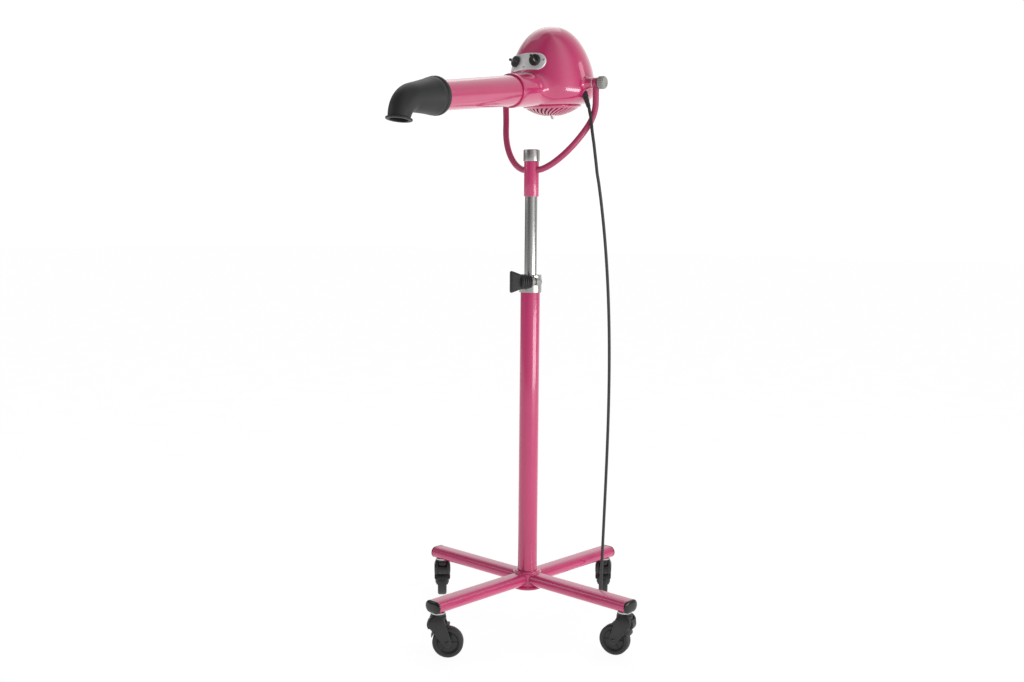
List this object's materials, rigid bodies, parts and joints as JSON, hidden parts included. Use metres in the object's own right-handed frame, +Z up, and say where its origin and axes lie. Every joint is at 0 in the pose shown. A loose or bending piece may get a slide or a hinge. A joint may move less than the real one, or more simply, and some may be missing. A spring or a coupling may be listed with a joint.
{
  "type": "pet grooming stand dryer",
  "caption": "Floor-standing pet dryer: domed blower with barrel and elbow nozzle on a tilting fork, telescopic column and four-legged caster base.",
  "frame": {"origin": "on the floor, on the column's axis", "axes": "+Z up along the column; the barrel points towards -Y at rest; +X towards the side where the cord leaves the head"},
  "size_m": [0.7068, 0.9649, 1.5532],
  "materials": {
    "pink_paint": "gloss paint",
    "pink_shell": "gloss moulding",
    "black_plastic": "satin",
    "black_rubber": "satin",
    "chrome": "polished",
    "steel": "satin",
    "nylon": "satin",
    "grey_plastic": "satin",
    "panel_silver": "satin",
    "fan_plastic": "satin",
    "filter_foam": "porous",
    "mica": "matt",
    "motor_metal": "dull",
    "tyre": "satin",
    "tie_white": "satin"
  },
  "bodies": {
    "base": {"base_hub": "pink_paint", "base_legs": "pink_paint", "leg_caps": "black_plastic", "lower_column": "pink_paint", "column_bush": "nylon", "clamp_collar": "chrome", "clamp_bolt": "steel", "caster_stems": "steel", "cord_floor": "black_rubber", "cord_coil": "black_rubber", "cord_tie": "tie_white", "cord_plug": "black_rubber"},
    "clamp_knob": {"clamp_knob": "black_plastic"},
    "mast": {"mast_tube": "chrome", "mast_slider": "nylon", "cord_lower": "black_rubber"},
    "yoke": {"yoke_sleeve": "pink_paint", "yoke_rod": "pink_paint", "yoke_eyes": "pink_paint", "sleeve_cap": "chrome", "cord_upper": "black_rubber"},
    "head": {"casing": "pink_shell", "bottom_ring": "pink_shell", "intake_grille": "pink_shell", "grille_stud": "steel", "intake_filter": "filter_foam", "barrel": "pink_shell", "heater": "mica", "motor": "motor_metal", "motor_plate": "steel", "control_panel": "panel_silver", "panel_screws": "steel", "rotary_switches": "black_plastic", "pivot_studs": "steel", "pivot_washers": "nylon", "cord_gland": "black_rubber", "cord_lead": "black_rubber"},
    "fan": {"fan_impeller": "fan_plastic"},
    "speed_knob": {"speed_knob": "black_plastic"},
    "heat_knob": {"heat_knob": "black_plastic"},
    "tilt_knob_right": {"tilt_knob_right": "grey_plastic"},
    "tilt_knob_left": {"tilt_knob_left": "grey_plastic"},
    "nozzle": {"elbow_nozzle": "black_rubber"},
    "caster_1": {"caster_fork_1": "black_plastic", "caster_axle_1": "steel"},
    "wheel_1": {"caster_wheel_1": "tyre"},
    "brake_1": {"brake_pedal_1": "black_plastic"},
    "caster_2": {"caster_fork_2": "black_plastic", "caster_axle_2": "steel"},
    "wheel_2": {"caster_wheel_2": "tyre"},
    "brake_2": {"brake_pedal_2": "black_plastic"},
    "caster_3": {"caster_fork_3": "black_plastic", "caster_axle_3": "steel"},
    "wheel_3": {"caster_wheel_3": "tyre"},
    "brake_3": {"brake_pedal_3": "black_plastic"},
    "caster_4": {"caster_fork_4": "black_plastic", "caster_axle_4": "steel"},
    "wheel_4": {"caster_wheel_4": "tyre"},
    "brake_4": {"brake_pedal_4": "black_plastic"}
  },
  "joints": [
    {"name": "mast_slide", "type": "slide", "parent": "base", "child": "mast", "axis": [0, 0, 1], "range_m": [-0.19, 0.25], "deforming": ["cord_lower"]},
    {"name": "clamp_turn", "type": "hinge", "parent": "base", "child": "clamp_knob", "pos_m": [0.0327, -0.02944, 0.906], "axis": [0.6691, 0.7431, 0], "range_deg": [-180, 180]},
    {"name": "head_swivel", "type": "hinge", "parent": "mast", "child": "yoke", "pos_m": [0, 0, 1.187], "axis": [0, 0, 1], "range_deg": [-75, 75], "deforming": ["cord_upper"]},
    {"name": "head_tilt", "type": "hinge", "parent": "yoke", "child": "head", "pos_m": [0, 0.0855, 1.405], "axis": [1, 0, 0], "range_deg": [-40, 34], "deforming": ["cord_lead"]},
    {"name": "nozzle_turn", "type": "hinge", "parent": "head", "child": "nozzle", "pos_m": [0, -0.42341, 1.33378], "axis": [0, -0.9919, -0.1271], "continuous": true},
    {"name": "fan_spin", "type": "hinge", "parent": "head", "child": "fan", "pos_m": [0, 0.09356, 1.41158], "axis": [0, -0.0698, 0.9976], "continuous": true},
    {"name": "speed_turn", "type": "hinge", "parent": "head", "child": "speed_knob", "pos_m": [0.01392, -0.00842, 1.45657], "axis": [0.1322, -0.9567, 0.2595], "range_deg": [-130, 130]},
    {"name": "heat_turn", "type": "hinge", "parent": "head", "child": "heat_knob", "pos_m": [-0.04526, 0.00146, 1.45727], "axis": [-0.4298, -0.8629, 0.266], "range_deg": [-150, 100]},
    {"name": "tilt_lock_right", "type": "hinge", "parent": "head", "child": "tilt_knob_right", "pos_m": [0.135, 0.0855, 1.405], "axis": [1, 0, 0], "range_deg": [-180, 180]},
    {"name": "tilt_lock_left", "type": "hinge", "parent": "head", "child": "tilt_knob_left", "pos_m": [-0.135, 0.0855, 1.405], "axis": [-1, 0, 0], "range_deg": [-180, 180]},
    {"name": "caster_swivel_1", "type": "hinge", "parent": "base", "child": "caster_1", "pos_m": [0.31711, -0.05591, 0.109], "axis": [0, 0, 1], "continuous": true},
    {"name": "wheel_spin_1", "type": "hinge", "parent": "caster_1", "child": "wheel_1", "pos_m": [0.29329, -0.05884, 0.038], "axis": [0.1219, -0.9925, 0], "continuous": true},
    {"name": "brake_press_1", "type": "hinge", "parent": "caster_1", "child": "brake_1", "pos_m": [0.32803, -0.05457, 0.083], "axis": [0.1219, -0.9925, 0], "range_deg": [-12, 0]},
    {"name": "caster_swivel_2", "type": "hinge", "parent": "base", "child": "caster_2", "pos_m": [0.05591, 0.31711, 0.109], "axis": [0, 0, 1], "continuous": true},
    {"name": "wheel_spin_2", "type": "hinge", "parent": "caster_2", "child": "wheel_2", "pos_m": [0.04502, 0.33849, 0.038], "axis": [-0.891, -0.454, 0], "continuous": true},
    {"name": "brake_press_2", "type": "hinge", "parent": "caster_2", "child": "brake_2", "pos_m": [0.06091, 0.30731, 0.083], "axis": [-0.891, -0.454, 0], "range_deg": [-12, 0]},
    {"name": "caster_swivel_3", "type": "hinge", "parent": "base", "child": "caster_3", "pos_m": [-0.31711, 0.05591, 0.109], "axis": [0, 0, 1], "continuous": true},
    {"name": "wheel_spin_3", "type": "hinge", "parent": "caster_3", "child": "wheel_3", "pos_m": [-0.33155, 0.07508, 0.038], "axis": [-0.7986, -0.6018, 0], "continuous": true},
    {"name": "brake_press_3", "type": "hinge", "parent": "caster_3", "child": "brake_3", "pos_m": [-0.31049, 0.04713, 0.083], "axis": [-0.7986, -0.6018, 0], "range_deg": [-12, 0]},
    {"name": "caster_swivel_4", "type": "hinge", "parent": "base", "child": "caster_4", "pos_m": [-0.05591, -0.31711, 0.109], "axis": [0, 0, 1], "continuous": true},
    {"name": "wheel_spin_4", "type": "hinge", "parent": "caster_4", "child": "wheel_4", "pos_m": [-0.03556, -0.30439, 0.038], "axis": [-0.5299, 0.848, 0], "continuous": true},
    {"name": "brake_press_4", "type": "hinge", "parent": "caster_4", "child": "brake_4", "pos_m": [-0.06524, -0.32294, 0.083], "axis": [-0.5299, 0.848, 0], "range_deg": [-12, 0]}
  ]
}
